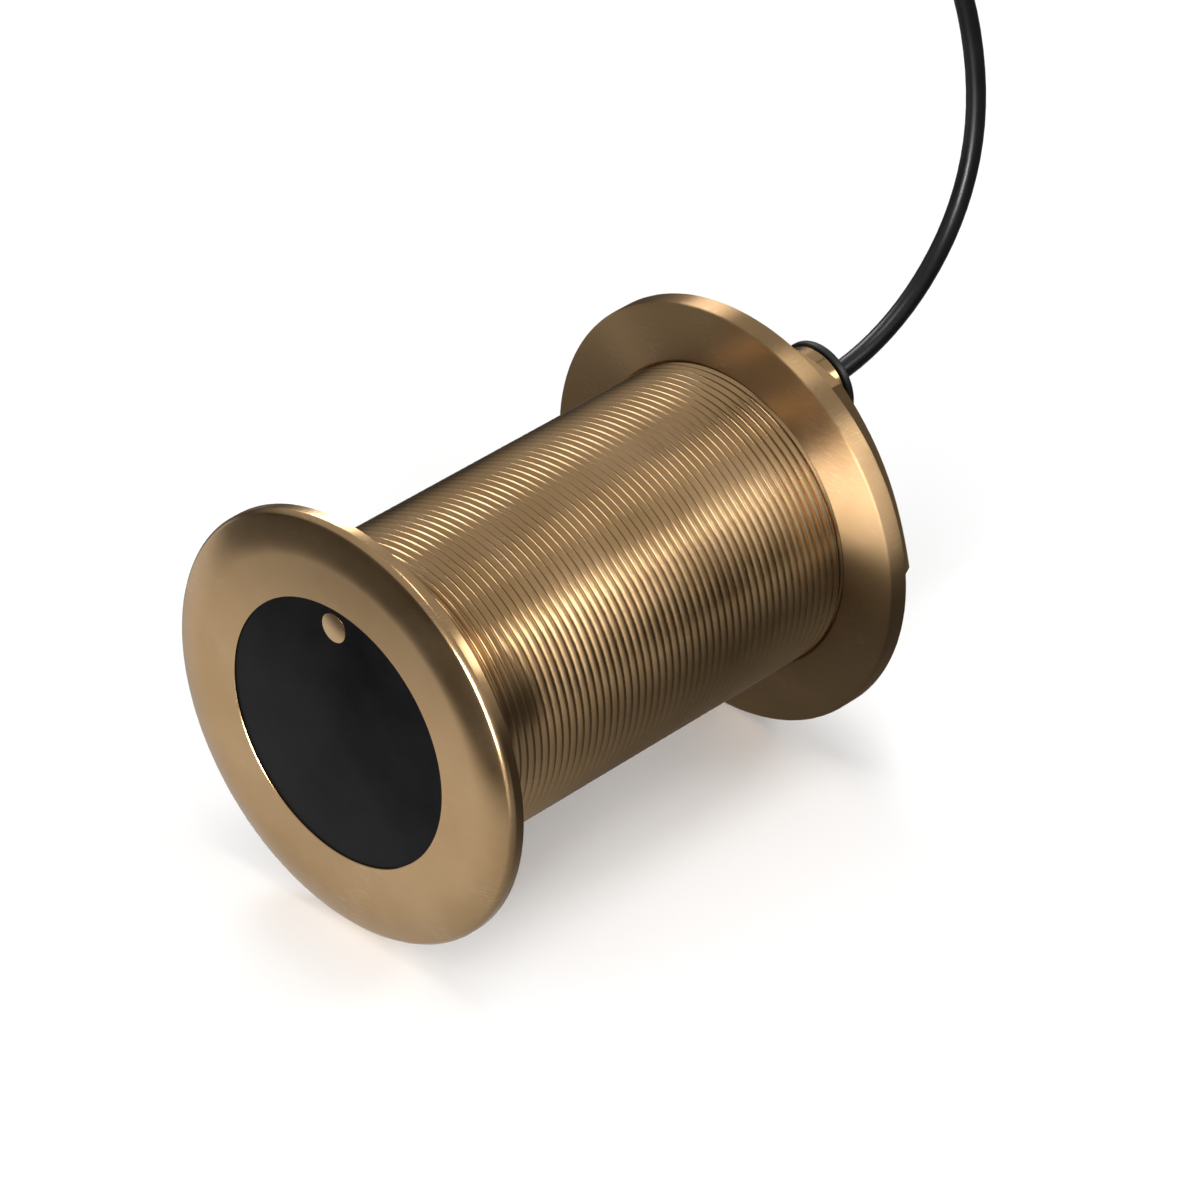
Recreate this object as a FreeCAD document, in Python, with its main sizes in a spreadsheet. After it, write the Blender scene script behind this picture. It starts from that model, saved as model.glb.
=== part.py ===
import FreeCAD, Part

import math
import os

import Sketcher

# Sonar transducer: bronze through-hull housing with a flush acoustic window, a flanged hull nut on
# its stem, and a cable with a plug.
# Millimetres. The origin is the centre of the face, the stem rises along +Z, and +X points from the
# centre of the face to the temperature button.

V = FreeCAD.Vector
UP = V(0, 0, 1)
DEG = "1deg"

# Driving sizes, in millimetres or degrees.
SIZES = {
    # Housing
    "stem_diameter": 73.0,
    "stem_length": 137.0,
    "stem_end_chamfer": 1.2,
    "thread_depth": 1.3,
    "relief_width": 2.4,
    "flange_diameter": 101.9,
    "flange_thickness": 5.4,
    "flange_lip_width": 9.45,
    "flange_shoulder_inset": 0.95,
    "flange_shoulder_height": 1.75,
    "flange_shoulder_round": 2.6,
    "flange_land_height": 3.0,
    "flange_back_chamfer": 0.3,
    "stem_wall": 4.8,
    "rear_wall": 7.0,
    "key_start": 3.0,
    "key_width": 2.6,
    "key_depth": 1.4,
    "boss_offset": 19.8,
    "boss_diameter": 20.0,
    "boss_length": 12.0,
    "boss_bore_diameter": 12.0,
    "boss_shoulder": 4.0,
    "cable_hole_play": 0.1,
    # Hull nut
    "nut_front": 119.1,
    "nut_height": 17.1,
    "nut_disc_inset": 0.05,
    "nut_disc_thickness": 5.2,
    "nut_disc_chamfer": 0.5,
    "nut_wall_at_flats": 1.7,
    "nut_corner_angle": 30.6,
    "nut_corner_chamfer": 30.0,
    "nut_running_play": 0.05,
    "nut_mouth_chamfer": 0.25,
    # Face and element
    "window_recess": 0.3,
    "window_thickness": 7.2,
    "button_edge_distance": 4.6,
    "button_diameter": 7.0,
    "button_chamfer": 0.15,
    "button_skin": 1.2,
    "thermistor_diameter": 3.0,
    "thermistor_length": 3.6,
    "potting_wall": 7.7,
    "piezo_thickness": 10.0,
    "isolation_width": 1.3,
    "backing_thickness": 8.0,
    "cup_wall": 1.2,
    "potting_over_cup": 7.0,
    # Electronics
    "board_width": 36.0,
    "board_height": 46.0,
    "board_thickness": 1.6,
    "board_front": 14.0,
    "board_embedded": 4.0,
    "board_margin": 2.5,
    "core_inner_diameter": 12.0,
    "core_outer_diameter": 22.0,
    "core_height": 7.0,
    "winding_thickness": 1.2,
    "winding_angle": 300.0,
    "transformer_offset": 12.0,
    "element_lead_spread": 7.0,
    "element_lead_diameter": 1.6,
    "element_lead_end": 52.0,
    "fine_wire_diameter": 0.7,
    "bead_wire_rise": 14.0,
    "bead_wire_step": 2.0,
    "bead_wire_sweep": 6.0,
    "bead_wire_climb": 14.0,
    "transformer_lead_inset": 1.5,
    "transformer_lead_rise": 4.0,
    "transformer_lead_spread": 3.0,
    "core_wire_diameter": 1.2,
    "core_wire_drop": 6.0,
    "core_pad_pitch": 3.0,
    "core_pad_depth": 4.0,
    "wire_landing": 6.0,
    "chip_width": 5.0,
    "chip_height": 5.0,
    "chip_thickness": 1.5,
    "capacitor_width": 6.0,
    "capacitor_height": 8.0,
    "capacitor_thickness": 3.0,
    "resistor_width": 2.0,
    "resistor_height": 1.2,
    "resistor_thickness": 0.6,
    "resistor_pitch": 4.0,
    # Cable and its exit
    "cable_diameter": 4.6,
    "cable_inside": 30.0,
    "grommet_head_diameter": 21.3,
    "grommet_head_thickness": 2.2,
    "grommet_head_round": 0.9,
    "ferrule_wall": 1.9,
    "ferrule_length": 5.0,
    # Coil, standing clear of the floor on its ties
    "coil_offset": 254.5,
    "coil_inner_diameter": 48.6,
    "coil_outer_diameter": 95.0,
    "coil_height": 23.2,
    "coil_round": 4.0,
    "tie_thickness": 1.0,
    "tie_width": 4.0,
    "tie_play": 0.02,
    # Plug
    "plug_offset": 306.0,
    "plug_start": 8.0,
    "plug_axis_height": 9.2,
    "boot_length": 12.0,
    "boot_thin_diameter": 6.0,
    "boot_thick_diameter": 11.2,
    "grip_diameter": 15.2,
    "grip_length": 14.0,
    "grip_chamfer": 1.0,
    "seat_diameter": 12.4,
    "seat_length": 9.0,
    "lip_diameter": 13.6,
    "lip_width": 1.0,
    "nose_diameter": 10.8,
    "nose_length": 7.0,
    "nose_bore_diameter": 9.2,
    "nose_bore_depth": 9.0,
    "insert_thickness": 5.0,
    "ring_diameter": 18.0,
    "ring_chamfer": 0.6,
    "ring_play": 0.05,
    "ring_end_play": 0.3,
    "ring_mouth_diameter": 15.8,
    "ring_mouth_length": 7.4,
    "ring_flute_diameter": 2.4,
    "pin_diameter": 1.0,
    "pin_length": 3.2,
    "pin_circle_diameter": 5.6,
    "seal_thickness": 1.0,
}
RING_FLUTES = 12
PIN_COUNT = 7
RESISTOR_COUNT = 3
# The cable's four cores lie this share of their own width off its middle, both ways.
CORE_OFFSET = 0.62
# How far a cut reaches past what it cuts.
BEYOND = 1.0
TIE_ANGLES = (60.0, 180.0, 300.0)

# The cable's route from the grommet, over the top and down onto the coil, then from the coil to
# the plug. The first point of each is its start, and the points between are its corners.
CABLE_ROUTE = [
    (19.8, 0.0, 151.2),
    (19.8, 0.0, 162.6),
    (28.8, 0.0, 182.9),
    (46.3, 0.3, 197.2),
    (69.5, -0.4, 203.2),
    (99.0, -3.0, 200.2),
    (128.0, -7.0, 188.4),
    (154.0, -12.0, 168.0),
    (175.0, -18.0, 141.0),
    (189.0, -24.0, 109.0),
    (199.0, -29.5, 77.0),
    (209.0, -33.2, 49.5),
    (224.0, -34.2, 31.0),
    (242.0, -33.2, 23.4),
    (261.0, -30.6, 22.0),
]
PLUG_ROUTE = [
    (280.9, -36.7, 3.3),
    (297.4, -22.2, 5.0),
    (306.0, -2.0, 9.2),
    (306.0, 20.0, 9.2),
]

doc = FreeCAD.newDocument("sonar_transducer")
sheet = doc.addObject("Spreadsheet::Sheet", "sizes")
for row, (alias, value) in enumerate(SIZES.items(), start=1):
    sheet.set(f"A{row}", alias)
    sheet.set(f"B{row}", str(value))
    sheet.setAlias(f"B{row}", alias)
doc.recompute()

pieces = []


def cell(alias):
    """The name of a size, as an expression reads it."""
    return f"sizes.{alias}"


def number(expression):
    """What an expression is worth now."""
    return float(sheet.evalExpression(str(expression)))


def size(alias):
    return number(cell(alias))


# Heights and radii that follow from the driving sizes.
STEM_R = "sizes.stem_diameter / 2"
FLANGE_R = "sizes.flange_diameter / 2"
BORE_R = f"({STEM_R} - sizes.stem_wall)"
FLANGE_FLAT_R = f"({FLANGE_R} - sizes.flange_lip_width)"
FLANGE_BACK = "sizes.flange_thickness"
CAVITY_TOP = "(sizes.stem_length - sizes.rear_wall)"
BOSS_TOP = "(sizes.stem_length + sizes.boss_length)"
GROMMET_TOP = f"({BOSS_TOP} + sizes.grommet_head_thickness)"
NUT_BACK = "(sizes.nut_front + sizes.nut_height)"
NUT_BORE_R = f"({STEM_R} + sizes.nut_running_play)"
WINDOW_BACK = "(sizes.window_recess + sizes.window_thickness)"
BUTTON_X = f"({BORE_R} - sizes.button_edge_distance)"
CUP_OUTER_R = f"({BORE_R} - sizes.potting_wall)"
CUP_INNER_R = f"({CUP_OUTER_R} - sizes.cup_wall)"
PIEZO_R = f"({CUP_INNER_R} - sizes.isolation_width)"
PIEZO_TOP = f"({WINDOW_BACK} + sizes.piezo_thickness)"
BACKING_TOP = f"({PIEZO_TOP} + sizes.backing_thickness)"
CUP_TOP = f"({BACKING_TOP} + sizes.cup_wall)"
POTTING_TOP = f"({CUP_TOP} + sizes.potting_over_cup)"
LEAD_R = "sizes.element_lead_diameter / 2"
LEAD_Y = f"(sizes.board_front - {LEAD_R})"
BOARD_BOTTOM = f"({POTTING_TOP} - sizes.board_embedded)"
BOARD_TOP = f"({BOARD_BOTTOM} + sizes.board_height)"
CABLE_R = "sizes.cable_diameter / 2"
CABLE_END = f"({CAVITY_TOP} - sizes.cable_inside)"


def keep(thing, label):
    """Name a finished sub-part, which is written to its own file."""
    thing.Label = label
    pieces.append(thing)
    return thing


def bind(thing, **expressions):
    for name, expression in expressions.items():
        thing.setExpression(name.replace("__", "."), str(expression))
    return thing


def at(thing, east=0, north=0, height=0):
    """Place a thing by expressions."""
    thing.setExpression("Placement.Base.x", str(east))
    thing.setExpression("Placement.Base.y", str(north))
    thing.setExpression("Placement.Base.z", str(height))
    return thing


def cylinder(name, radius, height, east=0, north=0, base=0):
    thing = doc.addObject("Part::Cylinder", name)
    bind(thing, Radius=radius, Height=height)
    return at(thing, east, north, base)


def block(name, width, depth, height, east=0, north=0, base=0):
    thing = doc.addObject("Part::Box", name)
    bind(thing, Length=width, Width=depth, Height=height)
    return at(thing, east, north, base)


def cut(name, base, *tools):
    for index, tool in enumerate(tools):
        thing = doc.addObject("Part::Cut", f"{name}_cut_{index}")
        thing.Base = base
        thing.Tool = tool
        base = thing
    return base


def plane(body, role):
    return next(o for o in body.Origin.OriginFeatures if o.Role == role)


def new_sketch(body, role, height=None):
    sketch = body.newObject("Sketcher::SketchObject", f"{body.Name}_sketch")
    sketch.AttachmentSupport = [(plane(body, role), "")]
    sketch.MapMode = "FlatFace"
    if height is not None:
        sketch.setExpression("AttachmentOffset.Base.z", str(height))
    return sketch


def pin_point(sketch, geometry, end, across, along):
    """Tie one end of a line to two expressions."""
    for kind, expression in (("DistanceX", across), ("DistanceY", along)):
        index = sketch.addConstraint(
            Sketcher.Constraint(kind, -1, 1, geometry, end, number(expression))
        )
        sketch.setExpression(f"Constraints[{index}]", str(expression))


def outline(sketch, corners):
    """A closed outline. A corner is (across, along) and, where an arc leads on from it, also the
    arc's centre (across, along) and its radius."""
    points = [V(number(c[0]), number(c[1]), 0) for c in corners]
    count = len(corners)
    arcs = []
    for index, corner in enumerate(corners):
        start, end = points[index], points[(index + 1) % count]
        if len(corner) == 2:
            sketch.addGeometry(Part.LineSegment(start, end), False)
            continue
        centre = V(number(corner[2]), number(corner[3]), 0)
        radius = number(corner[4])
        middle = centre + ((start + end) * 0.5 - centre).normalize() * radius
        sketch.addGeometry(Part.Arc(start, middle, end), False)
        arcs.append((index, corner[4]))
    arc_indices = [index for index, _ in arcs]
    ends = []
    for index in range(count):
        first = 1
        if index in arc_indices:
            arc = sketch.Geometry[index]
            first = 1 if arc.StartPoint.distanceToPoint(points[index]) < 1e-6 else 2
        ends.append((first, 3 - first))
    for index in range(count):
        following = (index + 1) % count
        sketch.addConstraint(
            Sketcher.Constraint("Coincident", index, ends[index][1], following, ends[following][0])
        )
    for index, corner in enumerate(corners):
        pin_point(sketch, index, ends[index][0], corner[0], corner[1])
    for index, radius in arcs:
        constraint = sketch.addConstraint(Sketcher.Constraint("Radius", index, number(radius)))
        sketch.setExpression(f"Constraints[{constraint}]", str(radius))


def circle(sketch, radius, across=0, along=0):
    centre = V(number(across), number(along), 0)
    index = sketch.addGeometry(Part.Circle(centre, UP, number(radius)), False)
    pin_point(sketch, index, 3, across, along)
    constraint = sketch.addConstraint(Sketcher.Constraint("Radius", index, number(radius)))
    sketch.setExpression(f"Constraints[{constraint}]", str(radius))


def turned(name, corners):
    """A body turned about +Z from an outline of (radius, height) corners."""
    body = doc.addObject("PartDesign::Body", name)
    sketch = new_sketch(body, "XZ_Plane")
    outline(sketch, corners)
    feature = body.newObject("PartDesign::Revolution", f"{name}_turning")
    feature.Profile = sketch
    feature.ReferenceAxis = (sketch, ["V_Axis"])
    feature.Angle = 360.0
    doc.recompute()
    return body


def grooved(body, corners):
    """Cut a ring of the given (radius, height) section from a body."""
    sketch = new_sketch(body, "XZ_Plane")
    outline(sketch, corners)
    feature = body.newObject("PartDesign::Groove", f"{body.Name}_groove")
    feature.Profile = sketch
    feature.ReferenceAxis = (sketch, ["V_Axis"])
    feature.Angle = 360.0
    doc.recompute()


def padded(body, draw, start, length):
    """Add a straight boss, drawn by draw(sketch), from one height upwards."""
    sketch = new_sketch(body, "XY_Plane", start)
    draw(sketch)
    feature = body.newObject("PartDesign::Pad", f"{body.Name}_pad")
    feature.Profile = sketch
    bind(feature, Length=length)
    doc.recompute()


def pocketed(body, draw, top, depth):
    """Sink a pocket, drawn by draw(sketch), from one height downwards."""
    before = body.Shape.Volume
    sketch = new_sketch(body, "XY_Plane", top)
    draw(sketch)
    feature = body.newObject("PartDesign::Pocket", f"{body.Name}_pocket")
    feature.Profile = sketch
    bind(feature, Length=depth)
    doc.recompute()
    if body.Shape.Volume > before - 1e-3:
        raise RuntimeError(f"the pocket in {body.Name} cut nothing")


def rounded_path(points, share=0.45, label=None):
    """Straight runs joined by tangent arcs, each as large as its two runs allow."""
    points = [V(*p) for p in points]
    edges = []
    radii = []
    start = points[0]
    for before, corner, after in zip(points, points[1:], points[2:]):
        inward = (corner - before).normalize()
        outward = (after - corner).normalize()
        half = inward.getAngle(outward) / 2
        reach = share * min(before.distanceToPoint(corner), corner.distanceToPoint(after))
        radius = reach / math.tan(half)
        inside = (outward - inward).normalize()
        first = corner - inward * reach
        middle = corner + inside * (radius / math.cos(half) - radius)
        last = corner + outward * reach
        edges.append(Part.LineSegment(start, first).toShape())
        edges.append(Part.Arc(first, middle, last).toShape())
        radii.append(radius)
        start = last
    edges.append(Part.LineSegment(start, points[-1]).toShape())
    path = Part.Wire(edges)
    if label:
        rounded = ", ".join(f"{radius:.0f}" for radius in radii)
        print(f"{label}: {path.Length:.1f} long, radii {rounded}")
    return path


def tube(points, radius, label=None):
    """A round tube along a route, checked by its volume."""
    path = rounded_path(points, label=label)
    direction = V(*points[1]) - V(*points[0])
    section = Part.Wire(Part.Circle(V(*points[0]), direction, radius).toShape())
    solid = path.makePipeShell([section], True, False)
    expected = math.pi * radius**2 * path.Length
    if abs(solid.Volume / expected - 1) > 0.01:
        raise RuntimeError(f"the tube {label} has the wrong volume")
    return solid


def feature(label, shape):
    thing = doc.addObject("Part::Feature", label)
    thing.Shape = shape
    return keep(thing, label)


def make_housing():
    # The front swells from the flat face to a shoulder, and a tighter round leads on to the rim.
    lip = f"({FLANGE_R} - sizes.flange_shoulder_inset)"
    lip_height = "sizes.flange_shoulder_height"
    front_r = f"((({lip} - {FLANGE_FLAT_R}) ^ 2 + {lip_height} ^ 2) / (2 * {lip_height}))"
    inset = "sizes.flange_shoulder_inset"
    rise = f"(sizes.flange_land_height - {lip_height})"
    chord = f"(({inset} ^ 2 + {rise} ^ 2) ^ 0.5)"
    reach = f"((sizes.flange_shoulder_round ^ 2 - {chord} ^ 2 / 4) ^ 0.5)"
    round_across = f"({FLANGE_R} - {inset} / 2 - {reach} * {rise} / {chord})"
    round_along = f"({lip_height} + {rise} / 2 + {reach} * {inset} / {chord})"
    key_r = f"({BORE_R} + sizes.key_depth)"
    key_end = "(sizes.key_start + sizes.key_width)"
    relief_r = f"({STEM_R} - sizes.thread_depth)"
    relief_end = f"({FLANGE_BACK} + sizes.relief_width)"
    chamfer = "sizes.stem_end_chamfer"
    body = turned(
        "housing",
        [
            (BORE_R, 0),
            (FLANGE_FLAT_R, 0, FLANGE_FLAT_R, front_r, front_r),
            (lip, lip_height, round_across, round_along, "sizes.flange_shoulder_round"),
            (FLANGE_R, "sizes.flange_land_height"),
            (FLANGE_R, f"{FLANGE_BACK} - sizes.flange_back_chamfer"),
            (f"{FLANGE_R} - sizes.flange_back_chamfer", FLANGE_BACK),
            (relief_r, FLANGE_BACK),
            (relief_r, relief_end),
            (STEM_R, f"{relief_end} + sizes.thread_depth"),
            (STEM_R, f"sizes.stem_length - {chamfer}"),
            (f"{STEM_R} - {chamfer}", "sizes.stem_length"),
            (0, "sizes.stem_length"),
            (0, CAVITY_TOP),
            (BORE_R, CAVITY_TOP),
            (BORE_R, key_end),
            (key_r, key_end),
            (key_r, "sizes.key_start"),
            (BORE_R, "sizes.key_start"),
        ],
    )
    offset = "sizes.boss_offset"
    padded(
        body,
        lambda sketch: circle(sketch, "sizes.boss_diameter / 2", offset),
        "sizes.stem_length",
        "sizes.boss_length",
    )
    bore_depth = "sizes.boss_length + sizes.rear_wall - sizes.boss_shoulder"
    pocketed(
        body,
        lambda sketch: circle(sketch, "sizes.boss_bore_diameter / 2", offset),
        BOSS_TOP,
        bore_depth,
    )
    pocketed(
        body,
        lambda sketch: circle(sketch, f"{CABLE_R} + sizes.cable_hole_play", offset),
        BOSS_TOP,
        f"sizes.boss_length + sizes.rear_wall + {BEYOND}",
    )
    keep(body, "housing")


def make_nut():
    edge = "sizes.nut_disc_chamfer"
    mouth = "sizes.nut_mouth_chamfer"
    disc_r = f"({FLANGE_R} - sizes.nut_disc_inset)"
    disc_back = "(sizes.nut_front + sizes.nut_disc_thickness)"
    body = turned(
        "hull_nut",
        [
            (f"{NUT_BORE_R} + {mouth}", "sizes.nut_front"),
            (f"{disc_r} - {edge}", "sizes.nut_front"),
            (disc_r, f"sizes.nut_front + {edge}"),
            (disc_r, f"{disc_back} - {edge}"),
            (f"{disc_r} - {edge}", disc_back),
            (NUT_BORE_R, disc_back),
            (NUT_BORE_R, f"sizes.nut_front + {mouth}"),
        ],
    )
    flat_r = f"({STEM_R} + sizes.nut_wall_at_flats)"
    corner_r = f"({flat_r} / cos(30 * {DEG}))"

    def hexagon(sketch):
        angles = [f"((sizes.nut_corner_angle + {60 * k}) * {DEG})" for k in range(6)]
        outline(sketch, [(f"{corner_r} * cos{a}", f"{corner_r} * sin{a}") for a in angles])
        circle(sketch, NUT_BORE_R)

    padded(body, hexagon, disc_back, "sizes.nut_height - sizes.nut_disc_thickness")
    beyond = f"({corner_r} + {BEYOND})"
    drop = f"(({beyond} - {flat_r}) * tan(sizes.nut_corner_chamfer * {DEG}))"
    grooved(
        body,
        [
            (flat_r, NUT_BACK),
            (beyond, f"{NUT_BACK} - {drop}"),
            (beyond, f"{NUT_BACK} + {BEYOND}"),
            (flat_r, f"{NUT_BACK} + {BEYOND}"),
        ],
    )
    keep(body, "hull_nut")


def make_window():
    key_r = f"({BORE_R} + sizes.key_depth)"
    key_end = "(sizes.key_start + sizes.key_width)"
    body = turned(
        "acoustic_window",
        [
            (0, "sizes.window_recess"),
            (BORE_R, "sizes.window_recess"),
            (BORE_R, "sizes.key_start"),
            (key_r, "sizes.key_start"),
            (key_r, key_end),
            (BORE_R, key_end),
            (BORE_R, WINDOW_BACK),
            (0, WINDOW_BACK),
        ],
    )
    pocketed(
        body,
        lambda sketch: circle(sketch, "sizes.button_diameter / 2", BUTTON_X),
        WINDOW_BACK,
        f"sizes.window_thickness + {BEYOND}",
    )
    keep(body, "acoustic_window")


def make_button():
    edge = "sizes.button_chamfer"
    body = turned(
        "temperature_button",
        [
            (0, 0),
            (f"sizes.button_diameter / 2 - {edge}", 0),
            ("sizes.button_diameter / 2", edge),
            ("sizes.button_diameter / 2", WINDOW_BACK),
            ("sizes.thermistor_diameter / 2", WINDOW_BACK),
            ("sizes.thermistor_diameter / 2", "sizes.button_skin"),
            (0, "sizes.button_skin"),
        ],
    )
    body.setExpression("Placement.Base.x", BUTTON_X)
    keep(body, "temperature_button")
    bead = cylinder(
        "thermistor",
        "sizes.thermistor_diameter / 2",
        "sizes.thermistor_length",
        BUTTON_X,
        0,
        "sizes.button_skin",
    )
    keep(bead, "thermistor")


def lead_holes(name, base, height):
    """Two holes that the element's leads pass through."""
    return [
        cylinder(f"{name}_{side}", LEAD_R, height, f"{sign} * sizes.element_lead_spread", LEAD_Y, base)
        for side, sign in (("west", -1), ("east", 1))
    ]


def make_element():
    keep(cylinder("piezo_disc", PIEZO_R, "sizes.piezo_thickness", base=WINDOW_BACK), "piezo_disc")
    ring = cut(
        "isolation_ring",
        cylinder("isolation_outside", CUP_INNER_R, "sizes.piezo_thickness", base=WINDOW_BACK),
        cylinder("isolation_inside", PIEZO_R, "sizes.piezo_thickness", base=WINDOW_BACK),
    )
    keep(ring, "isolation_ring")
    backing = cut(
        "backing_disc",
        cylinder("backing_blank", CUP_INNER_R, "sizes.backing_thickness", base=PIEZO_TOP),
        *lead_holes("backing_hole", PIEZO_TOP, "sizes.backing_thickness"),
    )
    keep(backing, "backing_disc")
    cup = cut(
        "element_cup",
        cylinder("cup_outside", CUP_OUTER_R, f"{CUP_TOP} - {WINDOW_BACK}", base=WINDOW_BACK),
        cylinder("cup_inside", CUP_INNER_R, f"{BACKING_TOP} - {WINDOW_BACK}", base=WINDOW_BACK),
        *lead_holes("cup_hole", BACKING_TOP, "sizes.cup_wall"),
    )
    keep(cup, "element_cup")
    for label, sign in (("element_lead_hot", 1), ("element_lead_ground", -1)):
        lead = cylinder(
            label,
            LEAD_R,
            f"sizes.element_lead_end - {PIEZO_TOP}",
            f"{sign} * sizes.element_lead_spread",
            LEAD_Y,
            PIEZO_TOP,
        )
        keep(lead, label)


def fine_wire_holes():
    """Where the thermistor's two wires pass through the potting."""
    return [
        cylinder(
            f"thermistor_wire_hole_{index}",
            "sizes.fine_wire_diameter / 2",
            f"{POTTING_TOP} - {WINDOW_BACK}",
            BUTTON_X,
            f"{sign} * sizes.fine_wire_diameter",
            WINDOW_BACK,
        )
        for index, sign in enumerate((-1, 1))
    ]


def make_potting():
    depth = f"{POTTING_TOP} - {WINDOW_BACK}"
    potting = cut(
        "rear_potting",
        cylinder("potting_blank", BORE_R, depth, base=WINDOW_BACK),
        cylinder("potting_cup", CUP_OUTER_R, f"{CUP_TOP} - {WINDOW_BACK}", base=WINDOW_BACK),
        *lead_holes("potting_hole", CUP_TOP, "sizes.potting_over_cup"),
        *fine_wire_holes(),
        block(
            "potting_slot",
            "sizes.board_width",
            "sizes.board_thickness",
            "sizes.board_embedded",
            "-sizes.board_width / 2",
            "sizes.board_front",
            BOARD_BOTTOM,
        ),
    )
    keep(potting, "rear_potting")


def ring_section(name, inner, outer, height, base, angle):
    """Part of a ring of square section about the transformer's axis."""
    body = doc.addObject("PartDesign::Body", name)
    sketch = new_sketch(body, "XZ_Plane")
    outline(
        sketch,
        [(inner, base), (outer, base), (outer, f"{base} + {height}"), (inner, f"{base} + {height}")],
    )
    turning = body.newObject("PartDesign::Revolution", f"{name}_turning")
    turning.Profile = sketch
    turning.ReferenceAxis = (sketch, ["V_Axis"])
    turning.setExpression("Angle", str(angle))
    doc.recompute()
    body.setExpression("Placement.Base.y", "-sizes.transformer_offset")
    return body


def make_transformer():
    inner = "sizes.core_inner_diameter / 2"
    outer = "sizes.core_outer_diameter / 2"
    wrap = "sizes.winding_thickness"
    core_base = f"({POTTING_TOP} + {wrap})"
    core = ring_section("transformer_core", inner, outer, "sizes.core_height", core_base, 360)
    keep(core, "transformer_core")
    blank = ring_section(
        "winding_outside",
        f"({inner} - {wrap})",
        f"({outer} + {wrap})",
        f"(sizes.core_height + 2 * {wrap})",
        POTTING_TOP,
        "sizes.winding_angle",
    )
    room = ring_section("winding_inside", inner, outer, "sizes.core_height", core_base, 360)
    keep(cut("transformer_winding", blank, room), "transformer_winding")


def make_board():
    half = "sizes.board_width / 2"
    front = "sizes.board_front"
    board = block(
        "circuit_board", "sizes.board_width", "sizes.board_thickness", "sizes.board_height",
        f"-{half}", front, BOARD_BOTTOM,
    )
    keep(board, "circuit_board")
    chip = block(
        "identity_chip", "sizes.chip_width", "sizes.chip_thickness", "sizes.chip_height",
        f"-{half} + sizes.chip_width", f"{front} - sizes.chip_thickness",
        "sizes.element_lead_end + sizes.chip_height / 2",
    )
    keep(chip, "identity_chip")
    capacitor = block(
        "board_capacitor", "sizes.capacitor_width", "sizes.capacitor_thickness",
        "sizes.capacitor_height", "sizes.capacitor_width", f"{front} - sizes.capacitor_thickness",
        "sizes.element_lead_end + sizes.chip_height / 2",
    )
    keep(capacitor, "board_capacitor")
    resistors = [
        block(
            f"resistor_{index}", "sizes.resistor_width", "sizes.resistor_thickness",
            "sizes.resistor_height",
            f"(sizes.resistor_pitch * {index - 1} - sizes.resistor_width / 2)",
            f"{front} - sizes.resistor_thickness",
            "sizes.element_lead_end + sizes.chip_height",
        )
        for index in range(RESISTOR_COUNT)
    ]
    group = doc.addObject("Part::Compound", "board_resistors")
    group.Links = resistors
    keep(group, "board_resistors")


def make_wires():
    """The fine wires inside, from where they start to the board's front face."""
    front = size("board_front")
    landing = size("wire_landing")
    fine = size("fine_wire_diameter") / 2
    offset = number(BUTTON_X)
    start = size("button_skin") + size("thermistor_length")
    level = number(POTTING_TOP) + size("bead_wire_rise")
    sweep = size("bead_wire_sweep")
    climb = size("bead_wire_climb")
    pad = size("board_width") / 2 - size("board_margin")
    shapes = []
    for sign in (-1, 1):
        side = sign * 2 * fine
        shapes.append(
            tube(
                [
                    (offset, side, start),
                    (offset, side, level),
                    (offset - size("bead_wire_step"), side + sweep, level + sweep + side),
                    (pad + side, front - fine, level + climb + side),
                    (pad + side, front - fine, level + climb + landing),
                ],
                fine,
            )
        )
    feature("thermistor_leads", Part.makeCompound(shapes))

    top = number(f"{POTTING_TOP} + sizes.core_height + 2 * sizes.winding_thickness")
    over = top + size("transformer_lead_rise")
    reach = size("core_outer_diameter") / 2 - size("transformer_lead_inset")
    north = reach - size("transformer_offset")
    shapes = [
        tube([(east, north, top), (east, north, over), (east, front, over)], fine)
        for east in (-size("transformer_lead_spread"), size("transformer_lead_spread"))
    ]
    feature("transformer_leads", Part.makeCompound(shapes))

    wire = size("core_wire_diameter") / 2
    spread = size("core_wire_diameter") * CORE_OFFSET
    end = number(CABLE_END)
    boss = size("boss_offset")
    pitch = size("core_pad_pitch")
    depth = size("core_pad_depth")
    pad_top = number(BOARD_TOP) - depth
    places = [(-1, 1), (-1, -1), (1, 1), (1, -1)]
    shapes = []
    for index, (east, north) in enumerate(places):
        land = pitch * (index - (len(places) - 1) / 2)
        begin = V(boss + east * spread, north * spread, end)
        shapes.append(
            tube(
                [
                    tuple(begin),
                    (begin.x, begin.y, end - size("core_wire_drop")),
                    ((begin.x + land) / 2, (begin.y + front) / 2, (end + pad_top - depth) / 2),
                    (land, front - wire, pad_top),
                    (land, front - wire, pad_top - landing),
                ],
                wire,
            )
        )
    feature("cable_cores", Part.makeCompound(shapes))


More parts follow.
